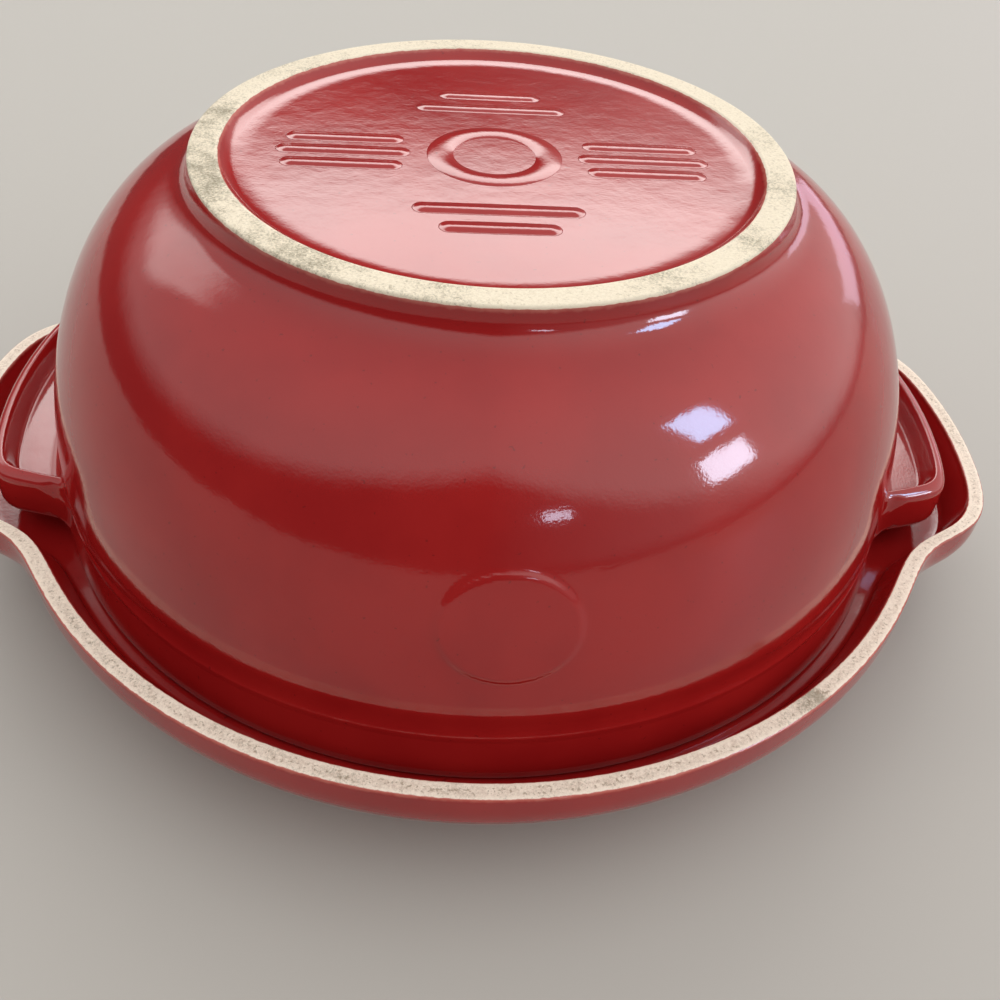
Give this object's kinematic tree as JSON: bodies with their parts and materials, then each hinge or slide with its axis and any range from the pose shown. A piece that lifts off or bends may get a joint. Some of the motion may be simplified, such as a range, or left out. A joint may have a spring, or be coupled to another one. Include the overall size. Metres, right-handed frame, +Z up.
{
  "type": "ceramic bread baker",
  "caption": "Round lidded bread baker of glazed ceramic, put away with its deep bowl upside down in its shallow lid, with handles on the bowl and lobes on the lid around them.",
  "frame": {"origin": "centre of the lid's flat top, on the surface that the baker stands on when it is put away", "axes": "+X through the middle of one handle, +Z up from the lid through the bowl's foot ring, +Y makes a right-handed frame"},
  "size_m": [0.3434, 0.3002, 0.14],
  "materials": {
    "glaze": "glossy deep red glaze",
    "biscuit": "bare cream biscuit with fine speckles"
  },
  "bodies": {
    "lid": {"lid": "glaze"},
    "bowl": {"bowl": "glaze"}
  },
  "joints": [
    {"name": "bowl_lift", "type": "slide", "parent": "lid", "child": "bowl", "axis": [0, 0, 1], "range_m": [0, 0.15]}
  ]
}
